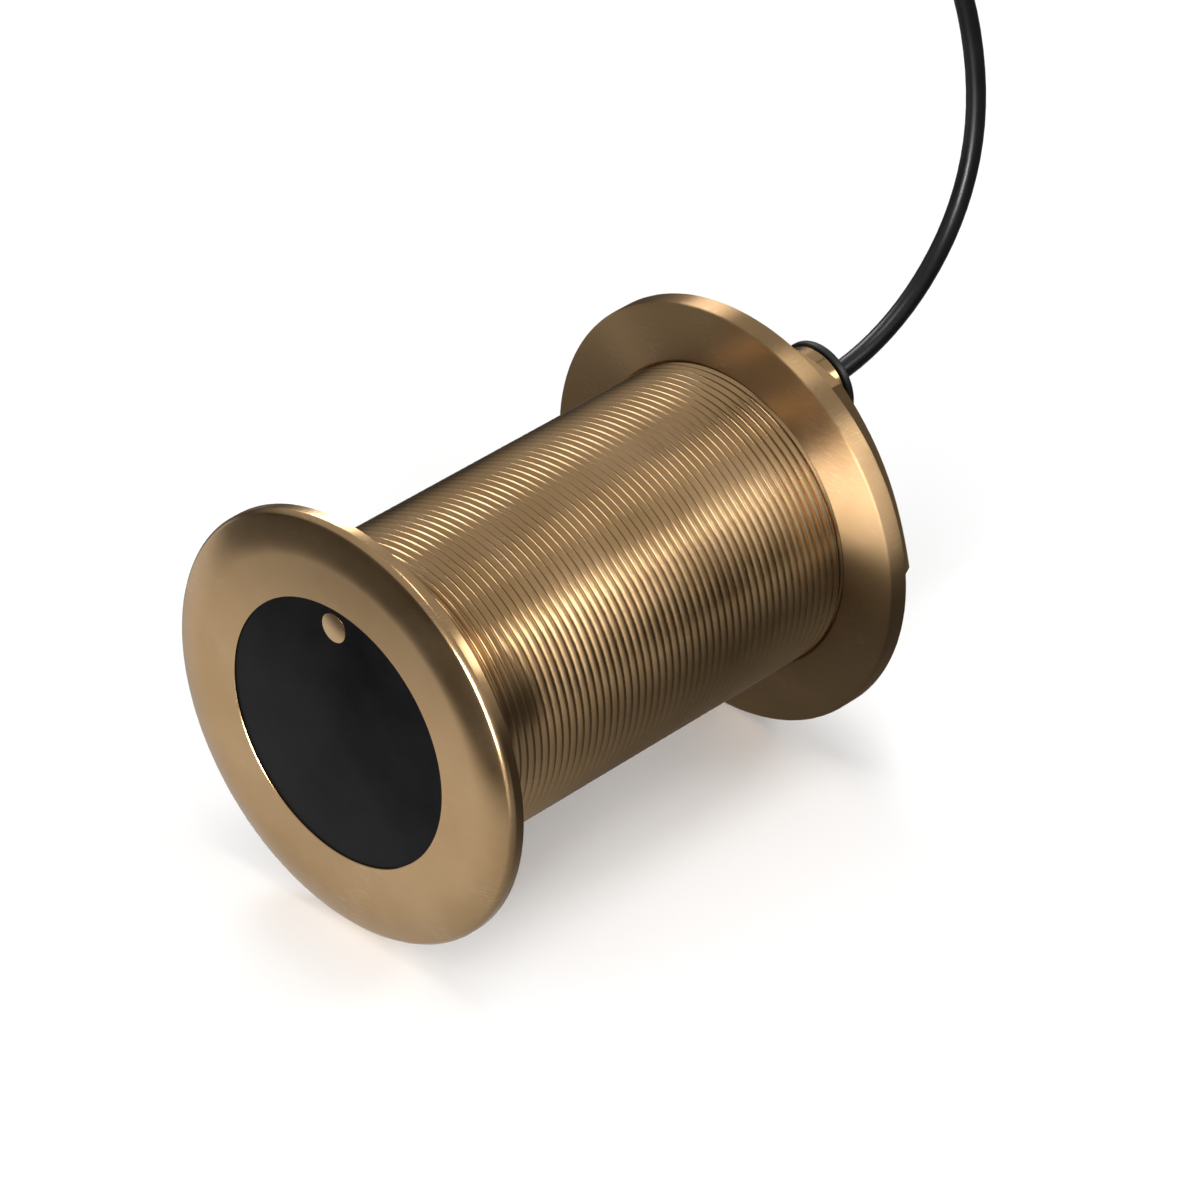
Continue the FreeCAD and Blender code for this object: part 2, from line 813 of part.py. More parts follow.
def make_exit():
    offset = "sizes.boss_offset"
    bore_r = "sizes.boss_bore_diameter / 2"
    body_bottom = f"({CAVITY_TOP} + sizes.boss_shoulder)"
    head_r = "sizes.grommet_head_diameter / 2"
    corner = "sizes.grommet_head_round"
    grommet = turned(
        "cable_grommet",
        [
            (CABLE_R, body_bottom),
            (bore_r, body_bottom),
            (bore_r, BOSS_TOP),
            (head_r, BOSS_TOP),
            (head_r, f"{GROMMET_TOP} - {corner}", f"{head_r} - {corner}",
             f"{GROMMET_TOP} - {corner}", corner),
            (f"{head_r} - {corner}", GROMMET_TOP),
            (CABLE_R, GROMMET_TOP),
        ],
    )
    grommet.setExpression("Placement.Base.x", offset)
    keep(grommet, "cable_grommet")
    tail = cylinder("cable_tail", CABLE_R, f"{GROMMET_TOP} - {CABLE_END}", offset, 0, CABLE_END)
    keep(tail, "cable_tail")
    ferrule_base = f"({CAVITY_TOP} - sizes.ferrule_length)"
    ferrule = cut(
        "cable_ferrule",
        cylinder(
            "ferrule_outside", f"{CABLE_R} + sizes.ferrule_wall", "sizes.ferrule_length",
            offset, 0, ferrule_base,
        ),
        cylinder("ferrule_inside", CABLE_R, "sizes.ferrule_length", offset, 0, ferrule_base),
    )
    keep(ferrule, "cable_ferrule")


def make_cable():
    radius = size("cable_diameter") / 2
    feature("cable_run", tube(CABLE_ROUTE, radius, "cable_run"))
    feature("plug_lead", tube(PLUG_ROUTE, radius, "plug_lead"))
    inner = "sizes.coil_inner_diameter / 2"
    outer = "sizes.coil_outer_diameter / 2"
    corner = "sizes.coil_round"
    low = "sizes.tie_thickness"
    high = "(sizes.tie_thickness + sizes.coil_height)"
    coil = turned(
        "cable_coil",
        [
            (f"{inner} + {corner}", low),
            (f"{outer} - {corner}", low, f"{outer} - {corner}", f"{low} + {corner}", corner),
            (outer, f"{low} + {corner}"),
            (outer, f"{high} - {corner}", f"{outer} - {corner}", f"{high} - {corner}", corner),
            (f"{outer} - {corner}", high),
            (f"{inner} + {corner}", high, f"{inner} + {corner}", f"{high} - {corner}", corner),
            (inner, f"{high} - {corner}"),
            (inner, f"{low} + {corner}", f"{inner} + {corner}", f"{low} + {corner}", corner),
        ],
    )
    coil.setExpression("Placement.Base.x", "sizes.coil_offset")
    keep(coil, "cable_coil")


def rounded_frame(inner, outer, low, high, corner):
    """A rounded rectangle in the XZ plane, as a wire."""
    k = corner * (1 - math.sqrt(0.5))
    edges = [
        Part.LineSegment(V(inner + corner, 0, low), V(outer - corner, 0, low)),
        Part.Arc(V(outer - corner, 0, low), V(outer - k, 0, low + k), V(outer, 0, low + corner)),
        Part.LineSegment(V(outer, 0, low + corner), V(outer, 0, high - corner)),
        Part.Arc(V(outer, 0, high - corner), V(outer - k, 0, high - k), V(outer - corner, 0, high)),
        Part.LineSegment(V(outer - corner, 0, high), V(inner + corner, 0, high)),
        Part.Arc(V(inner + corner, 0, high), V(inner + k, 0, high - k), V(inner, 0, high - corner)),
        Part.LineSegment(V(inner, 0, high - corner), V(inner, 0, low + corner)),
        Part.Arc(V(inner, 0, low + corner), V(inner + k, 0, low + k), V(inner + corner, 0, low)),
    ]
    return Part.Wire([edge.toShape() for edge in edges])


def make_ties():
    """Flat ties round the coil's bundle of turns. The coil rests on them."""
    thick = size("tie_thickness")
    inner = size("coil_inner_diameter") / 2
    outer = size("coil_outer_diameter") / 2
    high = thick + size("coil_height")
    corner = size("coil_round")
    width = size("tie_width")
    # A flat tie bridges the ring's curve, so it stands off by the sagitta at its edges.
    bridge = inner - math.sqrt(inner**2 - (width / 2) ** 2) + size("tie_play")
    inside = Part.Face(rounded_frame(inner - bridge, outer, thick, high, corner))
    outside = Part.Face(
        rounded_frame(inner - bridge - thick, outer + thick, 0, high + thick, corner + thick)
    )
    band = outside.cut(inside).extrude(V(0, width, 0))
    band.translate(V(0, -width / 2, 0))
    shapes = []
    for angle in TIE_ANGLES:
        tie = band.copy()
        tie.rotate(V(0, 0, 0), UP, angle)
        tie.translate(V(size("coil_offset"), 0, 0))
        shapes.append(tie)
    feature("coil_ties", Part.makeCompound(shapes))


def along_plug(thing):
    """Lay a thing that was made about +Z along the plug's axis, towards +Y."""
    thing.Placement.Rotation = FreeCAD.Rotation(V(1, 0, 0), -90)
    thing.setExpression("Placement.Base.x", "sizes.plug_offset")
    thing.setExpression("Placement.Base.y", "sizes.plug_start")
    thing.setExpression("Placement.Base.z", "sizes.plug_axis_height")
    return thing


def make_plug():
    boot_end = "sizes.boot_length"
    grip_end = f"({boot_end} + sizes.grip_length)"
    seat_end = f"({grip_end} + sizes.seat_length)"
    lip_end = f"({seat_end} + sizes.lip_width)"
    nose_end = f"({lip_end} + sizes.nose_length)"
    insert_base = f"({nose_end} - sizes.nose_bore_depth)"
    insert_top = f"({insert_base} + sizes.insert_thickness)"
    nose_r = "sizes.nose_diameter / 2"
    nose_bore_r = "sizes.nose_bore_diameter / 2"

    boot = turned(
        "plug_boot",
        [
            (CABLE_R, 0),
            ("sizes.boot_thin_diameter / 2", 0),
            ("sizes.boot_thick_diameter / 2", boot_end),
            (CABLE_R, boot_end),
        ],
    )
    keep(along_plug(boot), "plug_boot")
    body = turned(
        "plug_body",
        [
            (0, boot_end),
            ("sizes.grip_diameter / 2 - sizes.grip_chamfer", boot_end),
            ("sizes.grip_diameter / 2", f"{boot_end} + sizes.grip_chamfer"),
            ("sizes.grip_diameter / 2", grip_end),
            ("sizes.seat_diameter / 2", grip_end),
            ("sizes.seat_diameter / 2", seat_end),
            ("sizes.lip_diameter / 2", seat_end),
            ("sizes.lip_diameter / 2", lip_end),
            (nose_r, lip_end),
            (nose_r, nose_end),
            (nose_bore_r, nose_end),
            (nose_bore_r, insert_base),
            (0, insert_base),
        ],
    )
    keep(along_plug(body), "plug_body")

    seat_bore_r = "(sizes.seat_diameter / 2 + sizes.ring_play)"
    mouth_r = "sizes.ring_mouth_diameter / 2"
    ring_back = f"({grip_end} + sizes.ring_end_play)"
    step = f"({seat_end} - sizes.ring_end_play)"
    ring_front = f"({step} + sizes.ring_mouth_length)"
    ring_r = "(sizes.ring_diameter / 2)"
    ring_edge = "sizes.ring_chamfer"
    ring = turned(
        "plug_ring",
        [
            (seat_bore_r, ring_back),
            (f"{ring_r} - {ring_edge}", ring_back),
            (ring_r, f"{ring_back} + {ring_edge}"),
            (ring_r, f"{ring_front} - {ring_edge}"),
            (f"{ring_r} - {ring_edge}", ring_front),
            (mouth_r, ring_front),
            (mouth_r, step),
            (seat_bore_r, step),
        ],
    )
    before = ring.Shape.Volume
    sketch = new_sketch(ring, "XY_Plane", ring_front)
    circle(sketch, "sizes.ring_flute_diameter / 2", f"{ring_r} + sizes.ring_flute_diameter / 4")
    flute = ring.newObject("PartDesign::Pocket", "ring_flute")
    flute.Profile = sketch
    bind(flute, Length=f"{ring_front} - {ring_back}")
    doc.recompute()
    pattern = ring.newObject("PartDesign::PolarPattern", "ring_flutes")
    pattern.Originals = [flute]
    pattern.Axis = (plane(ring, "Z_Axis"), [""])
    pattern.Angle = 360
    pattern.Occurrences = RING_FLUTES
    ring.Tip = pattern
    doc.recompute()
    if ring.Shape.Volume > before - 1:
        raise RuntimeError("the ring's flutes cut nothing")
    keep(along_plug(ring), "plug_ring")

    insert = turned(
        "plug_insert",
        [(0, insert_base), (nose_bore_r, insert_base), (nose_bore_r, insert_top), (0, insert_top)],
    )
    keep(along_plug(insert), "plug_insert")
    seal = turned(
        "plug_seal",
        [
            (nose_r, lip_end),
            (f"{nose_r} + sizes.seal_thickness", lip_end),
            (f"{nose_r} + sizes.seal_thickness", f"{lip_end} + sizes.seal_thickness"),
            (nose_r, f"{lip_end} + sizes.seal_thickness"),
        ],
    )
    keep(along_plug(seal), "plug_seal")
    pins = []
    for index in range(PIN_COUNT):
        turn = f"({360 / PIN_COUNT * index} * {DEG})"
        reach = "sizes.pin_circle_diameter / 2"
        pin = doc.addObject("Part::Cylinder", f"plug_pin_{index}")
        bind(pin, Radius="sizes.pin_diameter / 2", Height="sizes.pin_length")
        pin.Placement.Rotation = FreeCAD.Rotation(V(1, 0, 0), -90)
        at(
            pin,
            f"sizes.plug_offset + {reach} * cos{turn}",
            f"sizes.plug_start + {insert_top}",
            f"sizes.plug_axis_height + {reach} * sin{turn}",
        )
        pins.append(pin)
    group = doc.addObject("Part::Compound", "plug_pins")
    group.Links = pins
    keep(group, "plug_pins")


make_housing()
make_nut()
make_window()
make_button()
make_element()
make_potting()
make_transformer()
make_board()
make_wires()
make_exit()
make_cable()
make_ties()
make_plug()
doc.recompute()

for thing in doc.Objects:
    if "Invalid" in thing.State or "Error" in thing.State:
        raise RuntimeError(f"{thing.Name} failed: {thing.State}")
for piece in pieces:
    if piece.Shape.isNull() or not piece.Shape.isValid() or not piece.Shape.Solids:
        raise RuntimeError(f"{piece.Label} has no valid solid")

os.makedirs("parts", exist_ok=True)
for piece in pieces:
    piece.Shape.exportStep(f"parts/{piece.Label}.step")
    print(f"{piece.Label}: {len(piece.Shape.Solids)} solid, {piece.Shape.Volume:.1f} mm3")
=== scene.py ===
import math

import bmesh
import bpy
from mathutils import Matrix, Vector


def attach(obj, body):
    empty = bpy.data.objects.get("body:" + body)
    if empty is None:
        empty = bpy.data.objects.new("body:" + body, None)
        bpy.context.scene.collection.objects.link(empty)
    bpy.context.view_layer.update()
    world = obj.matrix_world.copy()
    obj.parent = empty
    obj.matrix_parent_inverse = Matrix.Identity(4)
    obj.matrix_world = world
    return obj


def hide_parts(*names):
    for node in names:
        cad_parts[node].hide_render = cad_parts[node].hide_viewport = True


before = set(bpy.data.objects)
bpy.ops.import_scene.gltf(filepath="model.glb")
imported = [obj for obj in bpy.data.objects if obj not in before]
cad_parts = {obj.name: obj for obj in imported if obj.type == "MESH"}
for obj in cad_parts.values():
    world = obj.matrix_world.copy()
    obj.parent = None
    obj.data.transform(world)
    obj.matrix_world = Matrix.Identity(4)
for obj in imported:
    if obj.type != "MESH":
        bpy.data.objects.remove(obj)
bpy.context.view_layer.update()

MM = 0.001
TAU = 2 * math.pi

# The photograph's world, in the row's frame: its up, level towards its camera, and its right.
UP = Vector((1, 0, 0))
TURN = math.radians(45.8)
NEAR = Vector((0, math.cos(TURN), -math.sin(TURN)))
RIGHT = UP.cross(NEAR)
VIEW_ELEVATION = math.radians(34.0)
VIEW_DISTANCE = 1.403
VIEW_AIM = Vector((0, 4.7, 75.4)) * MM
VIEW_LENS = 192.5
VIEW_SENSOR = 36.0

# Sizes that the meshes here share with the solids, in millimetres. An R is a radius, and the
# places along the stem are heights above the face's plane.
STEM_R = 36.5
STEM_TOP = 137.0
RELIEF_R = 35.2
RELIEF_END = 7.8
FLANGE_R = 50.95
FLANGE_FLAT_R = 41.5
FLANGE_BACK = 5.4
FLANGE_BACK_EDGE = 0.3
SHOULDER_INSET = 0.95
SHOULDER_Z = 1.75
SHOULDER_ROUND = 2.6
LAND_Z = 3.0
BORE_R = 31.7
CAVITY_TOP = 130.0
BOSS_X = 19.8
BOSS_R = 10.0
BOSS_BORE_R = 6.0
BOSS_TOP = 149.0
GROMMET_R = 10.65
GROMMET_TOP = 151.2
GROMMET_ROUND = 0.9
NUT_FRONT = 119.1
NUT_DISC_BACK = 124.3
NUT_TOP = 136.2
NUT_R = 50.9
NUT_BORE_R = 36.55
NUT_EDGE = 0.5
NUT_FLAT = 38.2
NUT_CORNER_ANGLE = 30.6
NUT_CORNER_CHAMFER = 30.0
WINDOW_FACE = 0.3
WINDOW_BACK = 7.5
BUTTON_X = 27.1
BUTTON_R = 3.5
CABLE_R = 2.3


# Node helpers for materials


def linear(red, green, blue):
    """A colour written in 0 to 255 display values, as the shader wants it."""
    out = []
    for value in (red, green, blue):
        value /= 255
        out.append(value / 12.92 if value <= 0.04045 else ((value + 0.055) / 1.055) ** 2.4)
    return (*out, 1.0)


WHITE = (1, 1, 1, 1)


class Tree:
    """Short calls for making and linking the nodes of one material or world."""

    def __init__(self, owner):
        owner.use_nodes = True
        self.nodes = owner.node_tree.nodes
        self.links = owner.node_tree.links
        self.nodes.clear()

    def add(self, kind, **settings):
        node = self.nodes.new(kind)
        for name, value in settings.items():
            setattr(node, name, value)
        return node

    def feed(self, value, socket):
        if isinstance(value, bpy.types.NodeSocket):
            self.links.new(value, socket)
        else:
            socket.default_value = value

    def fill(self, node, **values):
        """Feed a node's inputs by name, with _ for a space."""
        for name, value in values.items():
            self.feed(value, node.inputs[name.replace("_", " ")])

    def math(self, operation, a, b=0.0):
        node = self.add("ShaderNodeMath", operation=operation)
        self.feed(a, node.inputs[0])
        self.feed(b, node.inputs[1])
        return node.outputs[0]

    def remap(self, value, low, high, to_low=0.0, to_high=1.0):
        """A smooth step: to_low where the value is low or less, to_high where it is high or more."""
        node = self.add("ShaderNodeMapRange", interpolation_type="SMOOTHSTEP")
        self.fill(node, Value=value, From_Min=low, From_Max=high, To_Min=to_low, To_Max=to_high)
        return node.outputs[0]

    def mix(self, factor, a, b):
        node = self.add("ShaderNodeMix", data_type="RGBA")
        self.feed(factor, node.inputs[0])
        self.feed(a, node.inputs[6])
        self.feed(b, node.inputs[7])
        return node.outputs[2]

    def choose(self, factor, a, b):
        """Shader a where the factor is 0, and b where it is 1."""
        node = self.add("ShaderNodeMixShader")
        for value, socket in zip((factor, a, b), node.inputs):
            self.feed(value, socket)
        return node.outputs[0]

    def point(self):
        """The point in the row's frame, in metres."""
        return self.add("ShaderNodeTexCoord").outputs["Object"]

    def split(self, vector):
        """The x, y and z of a vector."""
        node = self.add("ShaderNodeSeparateXYZ")
        self.feed(vector, node.inputs[0])
        return node.outputs

    def noise(self, vector, scale, detail, roughness=0.55, distortion=0.0):
        node = self.add("ShaderNodeTexNoise")
        self.fill(node, Vector=vector, Scale=scale, Detail=detail, Roughness=roughness,
                  Distortion=distortion)
        return node.outputs["Fac"]

    def bump(self, height, distance, under=None):
        """The normal of a relief, which may lie over another bump's."""
        node = self.add("ShaderNodeBump")
        self.fill(node, Height=height, Distance=distance, Strength=1.0)
        if under is not None:
            self.feed(under, node.inputs["Normal"])
        return node.outputs[0]


def new_material(name):
    """A material with only a Principled shader in it, its tree and that shader."""
    material = bpy.data.materials.new(name)
    tree = Tree(material)
    shader = tree.add("ShaderNodeBsdfPrincipled")
    tree.feed(shader.outputs[0], tree.add("ShaderNodeOutputMaterial").inputs[0])
    return material, tree, shader


# Bronze. The scales of its patterns are in cells for each metre, its reliefs in metres

TOOL_MARKS = 900.0
FINE_MARKS = 4200.0
TOOL_RELIEF = 3e-6
BLOTCHES = 32.0
SPECKS = 900.0
SPECK_COLOUR = linear(60, 42, 24)
SCRATCH_CELLS = (4200, 320, 320)
SCRATCH_PATCHES = 55.0
SCRATCH_RELIEF = 2e-6


def scratches(tree, point, turn, rarity):
    """Short hair-thin scratches in one direction, few and far between."""
    mapping = tree.add("ShaderNodeMapping")
    tree.fill(mapping, Vector=point, Rotation=turn, Scale=SCRATCH_CELLS)
    lines = tree.noise(mapping.outputs[0], 1.0, detail=0.0, distortion=0.8)
    thin = tree.remap(lines, rarity, rarity + 0.05)
    patches = tree.noise(point, SCRATCH_PATCHES, detail=2.0)
    return tree.math("MULTIPLY", thin, tree.remap(patches, 0.5, 0.66))


def bronze_material(name, light, dark, roughness, wear, turned_look):
    """Turned bronze: ring-shaped tool marks, soft blotches, small scratches and specks."""
    material, tree, shader = new_material(name)
    point = tree.point()
    x, y, z = tree.split(point)
    squares = tree.math("ADD", tree.math("MULTIPLY", x, x), tree.math("MULTIPLY", y, y))
    rings = tree.add("ShaderNodeCombineXYZ")
    tree.fill(rings, X=tree.math("SQRT", squares), Y=0.0, Z=z)
    coarse = tree.noise(rings.outputs[0], TOOL_MARKS, detail=2.0)
    fine = tree.noise(rings.outputs[0], FINE_MARKS, detail=3.0, roughness=0.7)
    blotch = tree.noise(point, BLOTCHES, detail=4.0, roughness=0.6)
    speck = tree.remap(tree.noise(point, SPECKS, detail=2.0), 0.68, 0.74)
    marks = tree.math("MAXIMUM", scratches(tree, point, turn=(0.4, 0.9, 0.3), rarity=0.66),
                      scratches(tree, point, turn=(1.2, 0.2, 2.1), rarity=0.67))

    colour = tree.mix(tree.remap(blotch, 0.3, 0.7), dark, light)
    pale = tree.mix(0.5, light, WHITE)
    colour = tree.mix(tree.math("MULTIPLY", marks, 0.35 * wear), colour, pale)
    colour = tree.mix(tree.math("MULTIPLY", speck, 0.3 * wear), colour, SPECK_COLOUR)
    rough = tree.remap(blotch, 0.25, 0.75, roughness - 0.04, roughness + 0.05)
    rough = tree.math("ADD", rough, tree.math("MULTIPLY", fine, 0.06))
    height = tree.math("ADD", tree.math("MULTIPLY", coarse, 0.5), tree.math("MULTIPLY", fine, 0.2))
    turned = tree.bump(height, TOOL_RELIEF)
    worn = tree.bump(tree.math("MULTIPLY", marks, -1.0), SCRATCH_RELIEF * wear, under=turned)
    tangent = tree.add("ShaderNodeTangent", direction_type="RADIAL", axis="Z")
    tree.fill(shader, Base_Color=colour, Metallic=1.0, Roughness=rough, Normal=worn,
              Anisotropic=turned_look, Anisotropic_Rotation=0.25, Tangent=tangent.outputs[0])
    return material


BRONZE_LIGHT = linear(180, 149, 110)
BRONZE_DARK = linear(168, 137, 98)
BRONZE = bronze_material("bronze", BRONZE_LIGHT, BRONZE_DARK, roughness=0.19, wear=0.4,
                         turned_look=0.25)
NUT_BRONZE = bronze_material("nut_bronze", BRONZE_LIGHT, BRONZE_DARK, roughness=0.4, wear=0.4,
                             turned_look=1.0)
BUTTON_BRONZE = bronze_material("button_bronze", linear(184, 152, 114), linear(174, 142, 104),
                                roughness=0.24, wear=0.3, turned_look=0.0)


# Rubber, plastic and what the pieces inside are made of

CLOUDS = 40.0
CLOUD_LIGHTER = 0.25


def rubber_material(name, colour, roughness, grain, depth, specular=0.5):
    """Moulded rubber or plastic: fine grain and a little unevenness in its sheen."""
    material, tree, shader = new_material(name)
    point = tree.point()
    cloud = tree.noise(point, CLOUDS, detail=4.0)
    fine = tree.noise(point, grain, detail=3.0, roughness=0.6)
    lighter = (*[channel * (1 + CLOUD_LIGHTER) + 0.002 for channel in colour[:3]], 1.0)
    tree.fill(shader,
              Base_Color=tree.mix(tree.remap(cloud, 0.3, 0.7), colour, lighter),
              Roughness=tree.remap(cloud, 0.2, 0.8, roughness - 0.05, roughness + 0.06),
              Specular_IOR_Level=specular,
              Normal=tree.bump(fine, depth))
    return material


def plain_material(name, light, dark, roughness, scale, metallic=0.0, depth=2e-5):
    """Two tones in a noise of its own scale, with relief."""
    material, tree, shader = new_material(name)
    pattern = tree.noise(tree.point(), scale, detail=4.0)
    tree.fill(shader,
              Base_Color=tree.mix(tree.remap(pattern, 0.35, 0.65), dark, light),
              Roughness=tree.remap(pattern, 0.2, 0.8, roughness + 0.06, roughness - 0.06),
              Metallic=metallic,
              Normal=tree.bump(pattern, depth))
    return material


WINDOW_BLACK = rubber_material("window_black", linear(6, 6, 7), 0.3, 2200.0, 2e-6, specular=0.03)
RUBBER_BLACK = rubber_material("rubber_black", linear(14, 14, 15), 0.42, 2600.0, 6e-6)
CABLE_BLACK = rubber_material("cable_black", linear(12, 12, 13), 0.34, 3000.0, 4e-6, specular=0.35)
PLUG_BLACK = rubber_material("plug_black", linear(24, 24, 26), 0.4, 3400.0, 1.2e-5)
PIN_GOLD = plain_material("pin_gold", linear(222, 184, 98), linear(205, 164, 80), 0.25, 900.0,
                          metallic=1.0)
CERAMIC = plain_material("ceramic", linear(200, 196, 184), linear(186, 180, 166), 0.5, 600.0)
CORK = plain_material("cork", linear(150, 110, 74), linear(104, 72, 44), 0.85, 700.0, depth=1e-4)
CUP_GREY = plain_material("cup_grey", linear(96, 97, 100), linear(84, 85, 88), 0.5, 900.0)
POTTING = plain_material("potting_amber", linear(128, 96, 50), linear(112, 82, 42), 0.3, 120.0)
FERRITE = plain_material("ferrite", linear(52, 52, 55), linear(40, 40, 42), 0.6, 1500.0)
ENAMEL_WIRE = plain_material("enamel_wire", linear(190, 104, 60), linear(160, 78, 40), 0.3, 1800.0,
                             metallic=1.0)
BOARD_GREEN = plain_material("board_green", linear(30, 104, 62), linear(24, 86, 52), 0.4, 300.0)
PART_BLACK = plain_material("part_black", linear(40, 40, 42), linear(32, 32, 34), 0.5, 2000.0)
WIRE_RED = plain_material("wire_red", linear(178, 36, 30), linear(160, 30, 26), 0.4, 1200.0)
WIRE_WHITE = plain_material("wire_white", linear(220, 220, 216), linear(204, 204, 200), 0.4, 1200.0)
CRIMP_METAL = plain_material("crimp_metal", linear(206, 176, 112), linear(188, 156, 92), 0.3, 900.0,
                             metallic=1.0)


# Mesh helpers. A profile is a list of (radius, height), and a row a ring of points

# In metres, degrees and millimetres: points nearer than the first become one, edges sharper
# than the second stay crisp, and a lathed skin comes as near to its axis as the third.
WELD = 1e-7
SHARP = 30.0
AXIS_R = 0.01
SMALL_ROUND_SIDES = 96


def finish_mesh(name, mesh, material, sharp=SHARP):
    """Weld, aim the normals out, mark the sharp edges, and make the object."""
    bmesh.ops.remove_doubles(mesh, verts=mesh.verts, dist=WELD)
    bmesh.ops.recalc_face_normals(mesh, faces=mesh.faces)
    for face in mesh.faces:
        face.smooth = True
    for edge in mesh.edges:
        if len(edge.link_faces) == 2 and edge.calc_face_angle(0) > math.radians(sharp):
            edge.smooth = False
    data = bpy.data.meshes.new(name)
    mesh.to_mesh(data)
    mesh.free()
    data.materials.append(material)
    piece = bpy.data.objects.new(name, data)
    bpy.context.scene.collection.objects.link(piece)
    return piece


def round_rows(profile, count, centre=0.0):
    """The rings of a profile round an upright axis at x = centre."""
    turns = [TAU * i / count for i in range(count)]
    return [
        [(centre + radius * math.cos(turn), radius * math.sin(turn), height) for turn in turns]
        for radius, height in profile
    ]


def add_row(mesh, row):
    return [mesh.verts.new(Vector(point) * MM) for point in row]


def add_skin(mesh, rows, closed=True):
    """Faces from each row to the next and, in a closed skin, from the last to the first."""
    rings = [add_row(mesh, row) for row in rows]
    count = len(rings[0])
    pairs = list(zip(rings, rings[1:]))
    if closed:
        pairs.append((rings[-1], rings[0]))
    for low, high in pairs:
        for i in range(count):
            j = (i + 1) % count
            mesh.faces.new((low[i], low[j], high[j], high[i]))
    return rings


def lathe(name, profile, material, count, centre):
    mesh = bmesh.new()
    add_skin(mesh, round_rows(profile, count, centre))
    return finish_mesh(name, mesh, material)


def arc(centre, radius, start, end, steps):
    """Points of an arc in (radius, height), with its angles in degrees."""
    return [
        (centre[0] + radius * math.cos(math.radians(start + (end - start) * k / steps)),
         centre[1] + radius * math.sin(math.radians(start + (end - start) * k / steps)))
        for k in range(steps + 1)
    ]


def arc_between(start, end, radius, steps):
    """Points of the bulging arc of a given radius from one (radius, height) to another."""
    across, along = end[0] - start[0], end[1] - start[1]
    chord = math.hypot(across, along)
    reach = math.sqrt(radius**2 - chord**2 / 4)
    centre = ((start[0] + end[0]) / 2 - reach * along / chord,
              (start[1] + end[1]) / 2 + reach * across / chord)
    angles = [math.degrees(math.atan2(p[1] - centre[1], p[0] - centre[0])) for p in (start, end)]
    return arc(centre, radius, angles[0], angles[1], steps)


def eased(profile, corner, size):
    """Break the sharp corner at one place of a profile by a small bevel."""
    at = profile.index(corner)
    around = []
    for beside in (profile[at - 1], profile[at + 1]):
        way = (beside[0] - corner[0], beside[1] - corner[1])
        share = min(size / math.hypot(*way), 0.5)
        around.append((corner[0] + way[0] * share, corner[1] + way[1] * share))
    return profile[:at] + around + profile[at + 1:]


# Housing: flange, threaded stem, rear wall and boss

HOUSING_SIDES = 168
HOUSING_SHARP = 40.0
FRONT_STEPS = 16
SHOULDER_STEPS = 8
EASED_EDGE = 0.1
MOUTH_EDGE = 0.15
RELIEF_FILLET = 0.5
# The height where the bore's skin follows on the flange's.
BORE_START = 0.6
# A ring this far inside the swelling front keeps the flat's shading flat.
FLAT_MARGIN = 0.5
# The rear wall's middle is one face of this radius, outside and inside.
WALL_MIDDLE_R = 1.0
# How deep the boss goes into the rear wall, and how far above it a ring keeps its shading.
BOSS_SUNK = 2.5
BOSS_MARGIN = 0.6
BOSS_EDGE = 0.3

THREAD_DEPTH = 0.75
THREAD_PITCH = 25.4 / 12
# One pitch, as (share of the pitch, share of the depth from the root), and how far from the
# relief's end the first one starts, in pitches.
THREAD_SHAPE = (
    (0.0, 0.93), (0.05, 1.0), (0.1, 1.0), (0.15, 0.93), (0.34, 0.48), (0.52, 0.04),
    (0.63, 0.04), (0.81, 0.48),
)
THREAD_START = -0.22


def flange_profile():
    """The flange from the edge of the window over its swelling front and its rim to the relief."""
    shoulder = (FLANGE_R - SHOULDER_INSET, SHOULDER_Z)
    land = (FLANGE_R, LAND_Z)
    reach = shoulder[0] - FLANGE_FLAT_R
    front_round = (reach**2 + SHOULDER_Z**2) / (2 * SHOULDER_Z)
    points = [(BORE_R, BORE_START), (BORE_R, MOUTH_EDGE), (BORE_R + MOUTH_EDGE, 0.0)]
    points += [(FLANGE_FLAT_R - FLAT_MARGIN, 0.0)]
    points += arc_between((FLANGE_FLAT_R, 0.0), shoulder, front_round, FRONT_STEPS)[:-1]
    points += [shoulder]
    points += arc_between(shoulder, land, SHOULDER_ROUND, SHOULDER_STEPS)[1:-1]
    points += [land, (FLANGE_R, FLANGE_BACK - FLANGE_BACK_EDGE)]
    points += [(FLANGE_R - FLANGE_BACK_EDGE, FLANGE_BACK)]
    points = eased(points, shoulder, EASED_EDGE)
    points = eased(points, land, EASED_EDGE)
    points += [(RELIEF_R + RELIEF_FILLET, FLANGE_BACK), (RELIEF_R, FLANGE_BACK + RELIEF_FILLET)]
    return points + [(RELIEF_R, RELIEF_END)]


def thread_rows(count):
    """Rows that follow the helix, cut back to a plain ring at each end by a slope of 45 degrees."""
    root = STEM_R - THREAD_DEPTH
    per_pitch = len(THREAD_SHAPE)
    turns = math.ceil((STEM_TOP - RELIEF_END) / THREAD_PITCH) + 1
    rows = []
    for k in range(-per_pitch, turns * per_pitch):
        lap, step = divmod(k, per_pitch)
        phase, level = THREAD_SHAPE[step]
        row = []
        for i in range(count + 1):
            height = RELIEF_END + THREAD_PITCH * (lap + phase + THREAD_START + i / count)
            height = min(max(height, RELIEF_END), STEM_TOP)
            from_end = min(height - RELIEF_END, STEM_TOP - height)
            radius = min(root + THREAD_DEPTH * level, RELIEF_R + from_end)
            angle = TAU * i / count
            row.append((radius * math.cos(angle), radius * math.sin(angle), height))
        rows.append(row)
    return rows


